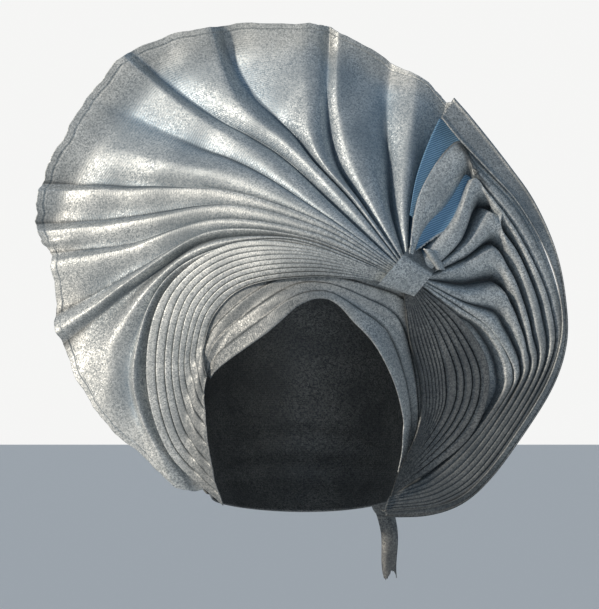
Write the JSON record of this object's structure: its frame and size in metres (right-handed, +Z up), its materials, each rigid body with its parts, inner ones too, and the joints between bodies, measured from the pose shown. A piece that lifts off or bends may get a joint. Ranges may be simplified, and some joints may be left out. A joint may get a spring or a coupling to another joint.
{
  "type": "tied head tie",
  "caption": "Tied head tie of pleated silver-grey metallic cloth with a tall fan, a brow band, a knot and a gathered bow.",
  "frame": {"origin": "where the crown of a head touches the inside of the cap", "axes": "+Z up, the face opening looks along -Y, +X is the wearer's left"},
  "size_m": [0.3665, 0.1875, 0.3855],
  "materials": {
    "lurex_cloth": "metallic sheen",
    "lurex_shade": "metallic sheen"
  },
  "bodies": {
    "root": {"head_cap": "lurex_shade", "forehead_band": "lurex_cloth", "main_fan": "lurex_cloth", "left_pleats": "lurex_cloth", "bow_folds": "lurex_cloth", "right_pleats": "lurex_shade", "top_band": "lurex_cloth", "knot_band": "lurex_cloth", "knot_tuck": "lurex_shade", "nape_band": "lurex_shade", "nape_knot": "lurex_shade", "nape_tail": "lurex_shade"}
  },
  "joints": []
}
